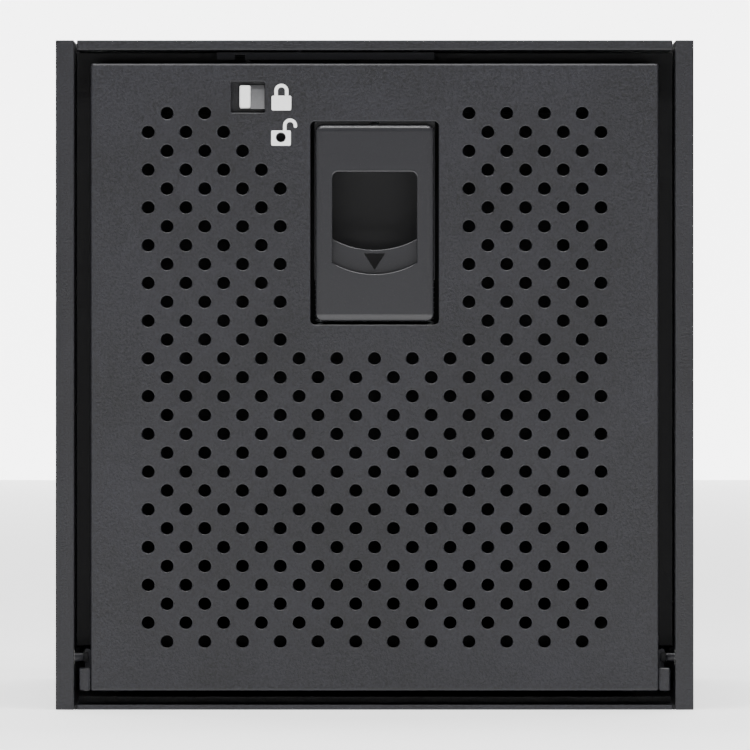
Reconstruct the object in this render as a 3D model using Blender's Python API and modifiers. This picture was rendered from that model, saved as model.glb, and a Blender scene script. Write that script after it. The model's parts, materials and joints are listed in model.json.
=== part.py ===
"""Small lockable parcel compartment with a perforated drop-down door.

Metres, +Z up. The door faces -Y. The origin is on the floor, under the middle of the casing.
"""
import math

import bmesh
import bpy
from mathutils import Matrix, Vector

# Driving dimensions of the casing.
WIDTH = 0.1690
DEPTH = 0.2400
HEIGHT = 0.1774
GAP = 0.0003
POST_WIDTH = 0.0049
POST_DEPTH = 0.0140
SIDE_WALL = 0.0030
RAIL_HALF_WIDTH = 0.0789
RAIL_SETBACK = 0.0005
TOP_RAIL = 0.0026
BOTTOM_RAIL = 0.0013
BASE_THICKNESS = 0.0030
BACK_THICKNESS = 0.0030
BACK_INSET = 0.0020
SHELF_BOTTOM = 0.0166
SHELF_TOP = 0.0186
FRAME_HALF_WIDTH = 0.0784
FRAME_OPENING_HALF = 0.0705
FRAME_THICKNESS = 0.0030

# Driving dimensions of the door.
DOOR_HALF_WIDTH = 0.07525
DOOR_BOTTOM = 0.0050
DOOR_TOP = 0.1713
DOOR_SETBACK = 0.0010
DOOR_SKIN = 0.0025
DOOR_DEPTH = 0.0095
HINGE_SETBACK = 0.0020
HINGE_HEIGHT = 0.0139
TRUNNION_RADIUS = 0.00105
BUSH_BORE = 0.0013
BUSH_RADIUS = 0.0020

# Ventilation holes: every second point of a square lattice.
VENT_PITCH = 0.0050
VENT_RADIUS = 0.00165
VENT_SIDES = 6
VENT_COLUMNS = 25
VENT_ROWS = 29
VENT_TOP = 0.1581
LATCH_FIRST_COLUMN = 8
LATCH_LAST_COLUMN = 16
LATCH_LAST_ROW = 12
STAIR_COLUMN = 3

# Driving dimensions of the latch, the lock and the emergency release.
LATCH_OPENING = (0.0340, 0.0539)
LATCH_CENTRE = 0.1290
LATCH_PLATE = (0.0314, 0.0522)
POCKET_HALF_WIDTH = 0.0112
POCKET_TOP = 0.1425
POCKET_BOTTOM = 0.11545
POCKET_ARC = 0.0221
THUMB_TOP = 0.1219
THUMB_ARC = 0.0228
BOLT_TOP = 0.1733
STRIKE_BOTTOM = 0.1722
HOUSING_HALF_WIDTH = 0.0205
HOUSING_BOTTOM = 0.0995
HOUSING_TOP = 0.1607
HOUSING_DEPTH = 0.0148
WALL = 0.0012
LOCK_WINDOW = (-0.03805, 0.1582, -0.02905, 0.1664)
LOCK_TRAVEL = 0.0019
TAB_LEFT = -0.0344
TAB_RIGHT = -0.0328
RELEASE_X = -0.02484
RELEASE_Z = 0.15165
RELEASE_HOLE = 0.0011
PLUNGER_RADIUS = 0.0018
STEM_RADIUS = 0.0007

# Places inside the casing.
SPARE = 0.0010
RECESS_MARGIN = 0.0050
RECESS_BACK = 0.1130
RAIL_HEIGHT = 0.0040
RAIL_SCREW_Y = 0.0800
LIP_HEIGHT = 0.0120
LIP_THICKNESS = 0.0030
LIP_HALF_WIDTH = 0.0700
FRAME_OPENING_LOW = 0.0210
FRAME_OPENING_HIGH = 0.1685
BRACKET_INNER = 0.0720
BRACKET_HEIGHT = 0.0950
BRACKET_HALF = 0.0100
BRACKET_SHEET = 0.0015
BRACKET_LEG = 0.0140
STRIKE_LEFT = -0.0420
STRIKE_RIGHT = 0.0160
STRIKE_FRONT = -0.1146
STRIKE_SHEET = 0.0009

# Places inside the door.
LINER_HALF_WIDTH = 0.0740
LINER_BOTTOM = 0.0080
LINER_TOP = 0.1703
LINER_OPENING_HALF = 0.0640
LINER_SILL = 0.0162
LINER_LINTEL = 0.1610
LINER_THIN_BACK = -0.1143
ARM_INNER = 0.0696
ARM_SIDE = 0.07555
ARM_OUTER = 0.0768
ARM_BOTTOM = 0.0080
ARM_TOP = 0.0160
ARM_BACK = -0.1134
FOOT_OUTER = 0.0783
FOOT_TOP = 0.0111
FOOT_BACK = -0.1155
BOLT_HALF = 0.0045
BOLT_FRONT = -0.1132
BOLT_BACK = -0.1114
BOLT_BOTTOM = 0.1500
BOSS_X = 0.0108
BOSS_Z = 0.1474
BOSS_RADIUS = 0.0022
CUP_HALF_WIDTH = 0.0125
CUP_BOTTOM = 0.1130
CUP_TOP = 0.1445
SLIDER_FRONT = -0.1159
SLIDER_BACK = -0.1144
SLIDER_HALF = 0.0160
SLIDER_BOTTOM = 0.1060
SLIDER_SHOULDER = 0.1139
TONGUE_HALF = 0.0128
THUMB_SIDES = 0.1252
ARM_SECTION = 0.0026
BRIDGE_BOTTOM = 0.1534
BRIDGE_TOP = 0.1565
SPRING_X = 0.0146
TAB_FRONT = -0.1134
TAB_BACK = -0.1120
LOCK_BACK = -0.1150
LOCK_BAY_LEFT = -0.0434
LOCK_BAY_RIGHT = -0.0240
LOCK_BAY_BOTTOM = 0.1550
LOCK_BAY_TOP = 0.1680
SLIDE_LEFT_LAP = 0.0014
SLIDE_RIGHT_LAP = 0.0020
FLAG_RIGHT = -0.0329
FLAG_WIDTH = 0.0029
RELEASE_BACK = -0.1072

# Hinge bushes, and the places and shank lengths of the screws.
BUSH_LENGTH = 0.0025
SCREW_SIDES = 10
SCREW_RADIUS = 0.0010
HEAD_RADIUS = 0.0020
HEAD_HEIGHT = 0.0009
RAIL_SHANK = 0.0034
BACK_SCREW_X = 0.0600
BACK_SCREW_LOW = 0.0075
BACK_SCREW_HIGH = 0.1694
BACK_SHANK = 0.0040
FRAME_SCREW_X = 0.0750
FRAME_SHANK = 0.0028
BRACKET_SCREW_SHARE = 0.65
BRACKET_SHANK = 0.0024
STRIKE_SCREWS = ((-0.0200, "left"), (0.0110, "right"))
STRIKE_SCREW_Y = -0.1116
STRIKE_SHANK = 0.0014
ARM_SCREW_X = 0.0725
ARM_SCREW_Z = 0.0120
ARM_SHANK = 0.0026
LINER_SCREW_X = 0.0670
LINER_SCREW_LEVELS = (("lower", 0.0300), ("upper", 0.1500))
LINER_SHANK = 0.0072
PLATE_SHANK = 0.0050
CASE_SCREW_X = 0.0120
CASE_SCREW_Y = -0.1120
CASE_SHANK = 0.0040
BOLT_SHANK = 0.0030

# Rounded corners, and the sides of the round cutters and pins.
SHELL_ROUNDING = 0.0002
DOOR_ROUNDING = 0.0005
PLATE_ROUNDING = 0.0009
EDGE_ROUNDING = 0.0003
FRAME_ROUNDING = 0.0002
FINE_SIDES = 64
BUSH_SIDES = 24
BORE_SIDES = 16
PIN_HOLE_SIDES = 12

# Coil springs, the lock slide and the release plunger.
SPRING_WIRE = 0.0002
LATCH_COIL_RADIUS = 0.0010
LATCH_COIL_TURNS = 6
LATCH_COIL_SETBACK = 0.0015
RELEASE_COIL_RADIUS = 0.0012
RELEASE_COIL_TURNS = 4
LOCK_LAP = 0.0012
GRIP_SETBACK = 0.0008
GRIP_LOW_MARGIN = 0.0010
GRIP_HIGH_MARGIN = 0.0011
GRIP_SIDE_MARGIN = 0.0005
TAB_FOOT = 0.0026
FLAG_LOW_MARGIN = 0.0012
FLAG_HIGH_MARGIN = 0.0009
RETAINER_OVERLAP = 0.0020
RETAINER_SHEET = 0.0010
HOLDER_HALF = 0.0032
PLUNGER_HEAD = 0.0015
PLUNGER_LENGTH = 0.0040
RELEASE_COIL_START = 0.0018

FRONT = -DEPTH / 2
BACK = DEPTH / 2
POST_INNER = WIDTH / 2 - POST_WIDTH
DOOR_FRONT = FRONT + DOOR_SETBACK
SKIN_BACK = DOOR_FRONT + DOOR_SKIN
DOOR_BACK = DOOR_FRONT + DOOR_DEPTH
HINGE_Y = DOOR_FRONT + HINGE_SETBACK
BEHIND_SKIN = SKIN_BACK + GAP
FRAME_FRONT = DOOR_BACK + GAP
FRAME_BACK = FRAME_FRONT + FRAME_THICKNESS
TOP_UNDERSIDE = HEIGHT - TOP_RAIL
HOUSING_BACK = DOOR_FRONT + HOUSING_DEPTH
BACK_FRONT = BACK - BACK_INSET - BACK_THICKNESS
RECESS_FRONT = FRONT + POST_DEPTH

SIDES = ((-1, "left"), (1, "right"))

for old in list(bpy.data.objects):
    bpy.data.objects.remove(old, do_unlink=True)
parts = bpy.data.collections.new("parcel_locker")
cutters = bpy.data.collections.new("cutters")
for collection in (parts, cutters):
    bpy.context.scene.collection.children.link(collection)


def material(name, colour, roughness, metallic=0.0):
    """Principled material with one colour."""
    made = bpy.data.materials.new(name)
    made.use_nodes = True
    shader = made.node_tree.nodes["Principled BSDF"]
    shader.inputs["Base Color"].default_value = (*colour, 1.0)
    shader.inputs["Roughness"].default_value = roughness
    shader.inputs["Metallic"].default_value = metallic
    return made


def add(name, mesh, location=(0, 0, 0)):
    """Object in the parts collection."""
    made = bpy.data.objects.new(name, mesh)
    made.location = location
    parts.objects.link(made)
    return made


def paint(part, look):
    """Give a part its own copy of a material."""
    own = look.copy()
    own.name = part.name
    part.data.materials.append(own)


def box(name, low, high, rounded=0.0):
    """Box between two corners, with its edges rounded off."""
    size = [b - a for a, b in zip(low, high)]
    middle = [(a + b) / 2 for a, b in zip(low, high)]
    mesh = bpy.data.meshes.new(name)
    shape = bmesh.new()
    bmesh.ops.create_cube(shape, size=1.0, matrix=Matrix.Diagonal((*size, 1.0)))
    shape.to_mesh(mesh)
    shape.free()
    made = add(name, mesh, middle)
    if rounded:
        bevel = made.modifiers.new("rounded_edges", "BEVEL")
        bevel.width = rounded
        bevel.segments = 1
    return made


def rod(name, start, end, radius, sides):
    """Straight round rod between two points."""
    along = Vector(end) - Vector(start)
    turn = along.to_track_quat("Z", "Y").to_matrix().to_4x4()
    mesh = bpy.data.meshes.new(name)
    shape = bmesh.new()
    bmesh.ops.create_cone(shape, cap_ends=True, segments=sides, radius1=radius, radius2=radius,
                          depth=along.length, matrix=turn)
    shape.to_mesh(mesh)
    shape.free()
    return add(name, mesh, (Vector(start) + Vector(end)) / 2)


def turned(name, outline, start, direction, sides, closed=False):
    """Outline of (radius, height) points turned about its axis, with height along direction."""
    mesh = bpy.data.meshes.new(name)
    points = [(radius, 0.0, height) for radius, height in outline]
    edges = [(i, i + 1) for i in range(len(points) - 1)]
    if closed:
        edges.append((len(points) - 1, 0))
    mesh.from_pydata(points, edges, [])
    made = add(name, mesh, start)
    made.rotation_mode = "QUATERNION"
    made.rotation_quaternion = Vector(direction).to_track_quat("Z", "Y")
    turn = made.modifiers.new("turn", "SCREW")
    turn.steps = sides
    turn.render_steps = sides
    turn.use_merge_vertices = True
    turn.merge_threshold = 0.00001
    return made


def combine(part, other, operation):
    """Boolean with a piece that is then only a guide."""
    step = part.modifiers.new(operation.lower(), "BOOLEAN")
    step.operation = operation
    step.solver = "EXACT"
    step.object = other
    if other.name in parts.objects:
        parts.objects.unlink(other)
        cutters.objects.link(other)
        other.hide_render = True
        other.display_type = "WIRE"


def cut(part, *others):
    for other in others:
        combine(part, other, "DIFFERENCE")


def join(part, *others):
    for other in others:
        combine(part, other, "UNION")


def cut_box(part, low, high):
    cut(part, box(f"cut_{part.name}", low, high))


def join_box(part, low, high, rounded=0.0):
    join(part, box(f"add_{part.name}", low, high, rounded))


def span(near, far, side, depth, heights):
    """Corners of a box that lies from near to far on one side of the middle plane."""
    low, high = sorted((side * near, side * far))
    return (low, depth[0], heights[0]), (high, depth[1], heights[1])


def screw(name, seat, direction, length, held):
    """Pan-head screw: its head stands on seat and its shank runs along direction."""
    seat = Vector(seat)
    direction = Vector(direction)
    outline = [(0.0, HEAD_HEIGHT), (HEAD_RADIUS * 0.7, HEAD_HEIGHT), (HEAD_RADIUS, 0.0),
               (SCREW_RADIUS, 0.0), (SCREW_RADIUS, -length), (0.0, -length - SCREW_RADIUS)]
    made = turned(name, outline, seat - direction * GAP, -direction, SCREW_SIDES)
    paint(made, steel)
    hole = rod(f"hole_{name}", seat - direction * HEAD_HEIGHT,
               seat + direction * (length + SCREW_RADIUS + 2 * GAP), SCREW_RADIUS + GAP, SCREW_SIDES)
    for part in held:
        cut(part, hole)
    return made


charcoal = material("charcoal_plastic", (0.060, 0.060, 0.068), 0.55)
graphite = material("graphite_plastic", (0.078, 0.078, 0.086), 0.45)
inner = material("inner_plastic", (0.030, 0.030, 0.034), 0.60)
steel = material("zinc_steel", (0.55, 0.56, 0.58), 0.35, 1.0)
white = material("white_plastic", (0.80, 0.80, 0.80), 0.45)
acetal = material("acetal_plastic", (0.62, 0.62, 0.60), 0.40)
blackened = material("black_steel", (0.03, 0.03, 0.032), 0.45, 0.6)


def make_side(side, label):
    """One side casing with its front post, hinge bush and shelf rail."""
    inside_wall = WIDTH / 2 - SIDE_WALL
    panel = box(f"{label}_side_panel", *span(POST_INNER, WIDTH / 2, side, (FRONT, BACK), (0.0, HEIGHT)),
                rounded=SHELL_ROUNDING)
    cut_box(panel, *span(POST_INNER - SPARE, inside_wall, side, (RECESS_FRONT, RECESS_BACK),
                         (RECESS_MARGIN, HEIGHT - RECESS_MARGIN)))
    cut(panel, rod(f"socket_{label}", (side * (POST_INNER - SPARE), HINGE_Y, HINGE_HEIGHT),
                   (side * (POST_INNER + BUSH_LENGTH + 2 * GAP), HINGE_Y, HINGE_HEIGHT),
                   BUSH_RADIUS + GAP, BORE_SIDES))
    paint(panel, charcoal)
    ring = [(BUSH_BORE, BUSH_LENGTH), (BUSH_RADIUS, BUSH_LENGTH), (BUSH_RADIUS, 0.0), (BUSH_BORE, 0.0)]
    bush = turned(f"hinge_bush_{label}", ring, (side * POST_INNER, HINGE_Y, HINGE_HEIGHT),
                  (side, 0, 0), BUSH_SIDES, closed=True)
    paint(bush, acetal)
    rail = box(f"shelf_rail_{label}",
               *span(FRAME_HALF_WIDTH, inside_wall - GAP, side, (RECESS_FRONT + GAP, RECESS_BACK - GAP),
                     (SHELF_BOTTOM - GAP - RAIL_HEIGHT, SHELF_BOTTOM - GAP)))
    paint(rail, blackened)
    for place, y in (("front", -RAIL_SCREW_Y), ("back", RAIL_SCREW_Y)):
        screw(f"rail_screw_{label}_{place}",
              (side * FRAME_HALF_WIDTH, y, SHELF_BOTTOM - GAP - RAIL_HEIGHT / 2), (side, 0, 0), RAIL_SHANK,
              (rail, panel))
    return panel


def make_shell():
    """Top and base with their front rails, and the back held by four screws."""
    rail_front = FRONT + RAIL_SETBACK
    top = box("top_panel", (-RAIL_HALF_WIDTH, rail_front, TOP_UNDERSIDE), (RAIL_HALF_WIDTH, BACK, HEIGHT),
              rounded=SHELL_ROUNDING)
    base = box("base_panel", (-RAIL_HALF_WIDTH, rail_front, 0.0), (RAIL_HALF_WIDTH, BACK, BASE_THICKNESS),
               rounded=SHELL_ROUNDING)
    cut_box(base, (-WIDTH, FRONT - SPARE, BOTTOM_RAIL), (WIDTH, FRAME_BACK, HEIGHT))
    lip_front = BACK_FRONT - GAP - LIP_THICKNESS
    join_box(base, (-LIP_HALF_WIDTH, lip_front, SPARE), (LIP_HALF_WIDTH, BACK_FRONT - GAP, LIP_HEIGHT))
    join_box(top, (-LIP_HALF_WIDTH, lip_front, HEIGHT - LIP_HEIGHT),
             (LIP_HALF_WIDTH, BACK_FRONT - GAP, HEIGHT - SPARE))
    back = box("back_panel", (-RAIL_HALF_WIDTH, BACK_FRONT, BASE_THICKNESS + GAP),
               (RAIL_HALF_WIDTH, BACK_FRONT + BACK_THICKNESS, TOP_UNDERSIDE - GAP), rounded=EDGE_ROUNDING)
    for part in (top, base, back):
        paint(part, charcoal)
    for level, height, lip in (("lower", BACK_SCREW_LOW, base), ("upper", BACK_SCREW_HIGH, top)):
        for side, label in SIDES:
            screw(f"back_screw_{level}_{label}", (side * BACK_SCREW_X, BACK_FRONT + BACK_THICKNESS, height),
                  (0, -1, 0), BACK_SHANK, (back, lip))
    return top


def make_inside(left, right, top):
    """Compartment floor, the frame the door closes on with its brackets, and the strike plate."""
    inside_wall = WIDTH / 2 - SIDE_WALL
    shelf = box("floor_shelf", (GAP - inside_wall, RECESS_FRONT + GAP, SHELF_BOTTOM),
                (inside_wall - GAP, RECESS_BACK - GAP, SHELF_TOP))
    paint(shelf, inner)
    frame = box("door_frame", (-FRAME_HALF_WIDTH, FRAME_FRONT, SHELF_BOTTOM),
                (FRAME_HALF_WIDTH, FRAME_BACK, TOP_UNDERSIDE - GAP), rounded=FRAME_ROUNDING)
    cut_box(frame, (-FRAME_OPENING_HALF, FRONT, FRAME_OPENING_LOW),
            (FRAME_OPENING_HALF, 0, FRAME_OPENING_HIGH))
    paint(frame, inner)
    for (side, label), panel in zip(SIDES, (left, right)):
        leg_front = RECESS_FRONT + GAP
        leg_inside = inside_wall - GAP - BRACKET_SHEET
        heights = (BRACKET_HEIGHT - BRACKET_HALF, BRACKET_HEIGHT + BRACKET_HALF)
        sheet = (leg_front, leg_front + BRACKET_SHEET)
        bracket = box(f"frame_bracket_{label}",
                      *span(BRACKET_INNER, inside_wall - GAP, side, sheet, heights))
        join(bracket, box(f"leg_{label}", *span(leg_inside, inside_wall - GAP, side,
                                                (leg_front, leg_front + BRACKET_LEG), heights)))
        paint(bracket, blackened)
        screw(f"frame_screw_{label}", (side * FRAME_SCREW_X, leg_front + BRACKET_SHEET, BRACKET_HEIGHT),
              (0, -1, 0), FRAME_SHANK, (bracket, frame))
        screw(f"bracket_screw_{label}",
              (side * leg_inside, leg_front + BRACKET_LEG * BRACKET_SCREW_SHARE, BRACKET_HEIGHT),
              (side, 0, 0), BRACKET_SHANK, (bracket, panel))
    strike_top = TOP_UNDERSIDE - GAP
    strike_low = strike_top - STRIKE_SHEET
    flange_back = STRIKE_FRONT + STRIKE_SHEET
    strike = box("strike_plate", (STRIKE_LEFT, STRIKE_FRONT, strike_low),
                 (STRIKE_RIGHT, DOOR_BACK, strike_top))
    join_box(strike, (STRIKE_LEFT, STRIKE_FRONT, STRIKE_BOTTOM), (STRIKE_RIGHT, flange_back, strike_top))
    notch_right = TAB_LEFT - GAP / 3
    cut_box(strike, (notch_right - LOCK_TRAVEL - GAP * 2, STRIKE_FRONT - SPARE, DOOR_TOP - SPARE),
            (notch_right, flange_back + GAP / 2, strike_low))
    paint(strike, blackened)
    for x, label in STRIKE_SCREWS:
        screw(f"strike_screw_{label}", (x, STRIKE_SCREW_Y, strike_low), (0, 0, 1), STRIKE_SHANK,
              (strike, top))


def has_vent(column, row):
    """True where the square lattice carries a hole."""
    if (column + row) % 2 == 0:
        return False
    if row <= LATCH_LAST_ROW and LATCH_FIRST_COLUMN <= column <= LATCH_LAST_COLUMN:
        return False
    return column > LATCH_LAST_COLUMN or row > LATCH_LAST_ROW or column <= STAIR_COLUMN + row


def vent_cutter():
    """All ventilation holes as one set of short rods along Y."""
    shape = bmesh.new()
    first = -VENT_PITCH * (VENT_COLUMNS - 1) / 2
    upright = Matrix.Rotation(math.pi / 2, 4, "X")
    for row in range(VENT_ROWS):
        for column in range(VENT_COLUMNS):
            if has_vent(column, row):
                place = Vector((first + column * VENT_PITCH, 0.0, VENT_TOP - row * VENT_PITCH))
                bmesh.ops.create_cone(shape, cap_ends=True, segments=VENT_SIDES, radius1=VENT_RADIUS,
                                      radius2=VENT_RADIUS, depth=4 * DOOR_SKIN,
                                      matrix=Matrix.Translation(place) @ upright)
    mesh = bpy.data.meshes.new("vent_holes")
    shape.to_mesh(mesh)
    shape.free()
    return add("vent_holes", mesh, (0, DOOR_FRONT + DOOR_SKIN / 2, 0))


def make_door():
    """Perforated door skin, the liner behind it and the two hinge arms with their trunnions."""
    skin = box("door_panel", (-DOOR_HALF_WIDTH, DOOR_FRONT, DOOR_BOTTOM),
               (DOOR_HALF_WIDTH, SKIN_BACK, DOOR_TOP), rounded=DOOR_ROUNDING)
    half, height = LATCH_OPENING[0] / 2, LATCH_OPENING[1] / 2
    cut_box(skin, (-half, FRONT, LATCH_CENTRE - height), (half, DOOR_BACK, LATCH_CENTRE + height))
    window_left, window_low, window_right, window_high = LOCK_WINDOW
    cut_box(skin, (window_left, FRONT, window_low), (window_right, DOOR_BACK, window_high))
    cut(skin, rod("pin_hole", (RELEASE_X, FRONT, RELEASE_Z), (RELEASE_X, DOOR_BACK, RELEASE_Z),
                  RELEASE_HOLE, PIN_HOLE_SIDES))
    cut(skin, vent_cutter())
    paint(skin, charcoal)

    liner = box("door_liner", (-LINER_HALF_WIDTH, BEHIND_SKIN, LINER_BOTTOM),
                (LINER_HALF_WIDTH, DOOR_BACK, LINER_TOP))
    cut_box(liner, (-LINER_OPENING_HALF, FRONT, LINER_SILL), (LINER_OPENING_HALF, 0, LINER_LINTEL))
    cut_box(liner, (-WIDTH, LINER_THIN_BACK, 0), (WIDTH, 0, ARM_TOP + GAP))
    for side, label in SIDES:
        cut_box(liner, *span(ARM_INNER - GAP, WIDTH, side, (FRONT, 0), (0, ARM_TOP + GAP)))
    cut_box(liner, (-BOLT_HALF - GAP, BOLT_FRONT - GAP, LINER_LINTEL - SPARE),
            (BOLT_HALF + GAP, BOLT_BACK + GAP, HEIGHT))
    cut_box(liner, (LOCK_BAY_LEFT, FRONT, LOCK_BAY_BOTTOM), (LOCK_BAY_RIGHT, 0, LOCK_BAY_TOP))
    cut_box(liner, (TAB_LEFT - LOCK_TRAVEL - GAP, TAB_FRONT - GAP, LOCK_BAY_TOP - SPARE),
            (TAB_RIGHT + GAP, TAB_BACK + GAP, HEIGHT))
    paint(liner, inner)

    pieces = [skin, liner]
    for side, label in SIDES:
        arm = box(f"hinge_arm_{label}", *span(ARM_SIDE, FOOT_OUTER, side, (DOOR_FRONT, FOOT_BACK),
                                              (DOOR_BOTTOM, FOOT_TOP)), rounded=EDGE_ROUNDING)
        join(arm, box(f"web_{label}", *span(ARM_SIDE, ARM_OUTER, side, (HINGE_Y + GAP / 2, ARM_BACK),
                                            (ARM_BOTTOM, ARM_TOP))))
        tab_heights = (ARM_BOTTOM + GAP, ARM_TOP - GAP)
        join(arm, box(f"tab_{label}", *span(ARM_INNER, ARM_SIDE + SPARE, side,
                                            (BEHIND_SKIN, ARM_BACK - GAP), tab_heights)))
        join(arm, rod(f"trunnion_{label}", (side * (ARM_OUTER - SPARE / 2), HINGE_Y, HINGE_HEIGHT),
                      (side * (POST_INNER + BUSH_LENGTH - GAP), HINGE_Y, HINGE_HEIGHT),
                      TRUNNION_RADIUS, BUSH_SIDES))
        paint(arm, charcoal)
        pieces.append(arm)
        pieces.append(screw(f"arm_screw_{label}", (side * ARM_SCREW_X, ARM_BACK - GAP, ARM_SCREW_Z),
                            (0, -1, 0), ARM_SHANK, (arm, skin)))
        for level, height in LINER_SCREW_LEVELS:
            pieces.append(screw(f"liner_screw_{level}_{label}", (side * LINER_SCREW_X, DOOR_BACK, height),
                                (0, -1, 0), LINER_SHANK, (liner, skin)))
    return pieces, liner


def make_latch_case(liner):
    """Escutcheon with the finger opening, the cup behind it and the case that holds the latch."""
    half, height = LATCH_PLATE[0] / 2, LATCH_PLATE[1] / 2
    plate = box("latch_plate", (-half, DOOR_FRONT, LATCH_CENTRE - height),
                (half, BEHIND_SKIN, LATCH_CENTRE + height), rounded=PLATE_ROUNDING)
    opening = box("finger_opening", (-POCKET_HALF_WIDTH, FRONT - SPARE, POCKET_BOTTOM - SPARE),
                  (POCKET_HALF_WIDTH, DOOR_BACK, POCKET_TOP))
    arc_height = POCKET_BOTTOM + POCKET_ARC
    disc = rod("opening_arc", (0, FRONT - SPARE, arc_height), (0, DOOR_BACK, arc_height), POCKET_ARC,
               FINE_SIDES)
    combine(opening, disc, "INTERSECT")
    cut(plate, opening)
    case = box("latch_housing", (-HOUSING_HALF_WIDTH, BEHIND_SKIN + 2 * GAP, HOUSING_BOTTOM),
               (HOUSING_HALF_WIDTH, HOUSING_BACK, HOUSING_TOP))
    cut_box(case, (WALL - HOUSING_HALF_WIDTH, FRONT, HOUSING_BOTTOM + WALL),
            (HOUSING_HALF_WIDTH - WALL, HOUSING_BACK - WALL, HOUSING_TOP - WALL))
    cut_box(case, (-BOLT_HALF - GAP, BOLT_FRONT - GAP, HOUSING_TOP - 2 * WALL),
            (BOLT_HALF + GAP, BOLT_BACK + GAP, HEIGHT))
    pieces = [plate, case]
    for side, label in SIDES:
        boss_x = side * BOSS_X
        join(plate, rod(f"boss_{label}", (boss_x, SKIN_BACK - SPARE / 2, BOSS_Z),
                        (boss_x, HOUSING_BACK - WALL - GAP, BOSS_Z), BOSS_RADIUS, BORE_SIDES))
        pieces.append(screw(f"plate_screw_{label}", (boss_x, HOUSING_BACK, BOSS_Z), (0, -1, 0),
                            PLATE_SHANK, (case, plate)))
        under_top = (side * CASE_SCREW_X, CASE_SCREW_Y, HOUSING_TOP - WALL)
        pieces.append(screw(f"housing_screw_{label}", under_top, (0, 0, 1), CASE_SHANK, (case, liner)))
    cup = box("finger_cup", (-CUP_HALF_WIDTH, SLIDER_BACK + GAP, CUP_BOTTOM),
              (CUP_HALF_WIDTH, HOUSING_BACK - WALL - GAP, CUP_TOP), rounded=SHELL_ROUNDING)
    cut_box(cup, (WALL - CUP_HALF_WIDTH, FRONT, CUP_BOTTOM + WALL),
            (CUP_HALF_WIDTH - WALL, HOUSING_BACK - 2 * WALL - GAP, CUP_TOP - WALL))
    paint(plate, graphite)
    paint(case, inner)
    paint(cup, inner)
    return pieces + [cup]


def coil(name, start, direction, length, radius, turns):
    """Open coil spring of round wire from start along direction."""
    points_per_turn = 10
    curve = bpy.data.curves.new(name, "CURVE")
    curve.dimensions = "3D"
    curve.bevel_depth = SPRING_WIRE
    curve.bevel_resolution = 1
    curve.use_fill_caps = True
    spline = curve.splines.new("POLY")
    count = turns * points_per_turn
    spline.points.add(count)
    turn = Vector(direction).to_track_quat("Z", "Y")
    for i in range(count + 1):
        angle = 2 * math.pi * i / points_per_turn
        rise = SPRING_WIRE + (length - 2 * SPRING_WIRE) * i / count
        place = Vector((radius * math.cos(angle), radius * math.sin(angle), rise))
        spline.points[i].co = (*(turn @ place), 1.0)
    made = add(name, curve, start)
    own = steel.copy()
    own.name = name
    curve.materials.append(own)
    return made


def make_latch():
    """Sliding thumb piece with the bolt it carries, pushed up by two springs."""
    rear = SLIDER_FRONT + ARM_SECTION
    slider = box("latch_slider", (-SLIDER_HALF, SLIDER_FRONT, SLIDER_SHOULDER),
                 (SLIDER_HALF, SLIDER_BACK, THUMB_SIDES))
    join_box(slider, (-TONGUE_HALF, SLIDER_FRONT, SLIDER_BOTTOM),
             (TONGUE_HALF, SLIDER_BACK, SLIDER_SHOULDER + GAP))
    for side, label in SIDES:
        corners = span(SLIDER_HALF - ARM_SECTION, SLIDER_HALF, side, (SLIDER_FRONT, rear),
                       (THUMB_SIDES - SPARE, BRIDGE_TOP))
        join(slider, box(f"slider_arm_{label}", *corners))
    join_box(slider, (-SLIDER_HALF, SLIDER_FRONT, BRIDGE_BOTTOM), (SLIDER_HALF, rear, BRIDGE_TOP))
    scoop = box("thumb_scoop", (-TONGUE_HALF, FRONT, THUMB_TOP - SPARE),
                (TONGUE_HALF, 0, BRIDGE_BOTTOM - SPARE))
    arc_height = THUMB_TOP + THUMB_ARC
    disc = rod("thumb_arc", (0, FRONT, arc_height), (0, 0, arc_height), THUMB_ARC, FINE_SIDES)
    combine(scoop, disc, "INTERSECT")
    cut(slider, scoop)
    paint(slider, graphite)
    bolt = box("latch_bolt", (-BOLT_HALF, BOLT_FRONT, BOLT_BOTTOM), (BOLT_HALF, BOLT_BACK, BOLT_TOP),
               rounded=EDGE_ROUNDING)
    paint(bolt, blackened)
    fixing = screw("bolt_screw", (0, BOLT_BACK, (BRIDGE_BOTTOM + BRIDGE_TOP) / 2), (0, -1, 0),
                   BOLT_SHANK, (bolt, slider))
    springs = []
    seat = HOUSING_BOTTOM + WALL + GAP
    for side, label in SIDES:
        start = (side * SPRING_X, SLIDER_FRONT + LATCH_COIL_SETBACK, seat)
        springs.append(coil(f"latch_spring_{label}", start, (0, 0, 1), SLIDER_SHOULDER - GAP - seat,
                            LATCH_COIL_RADIUS, LATCH_COIL_TURNS))
    return [slider, bolt, fixing] + springs


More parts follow.
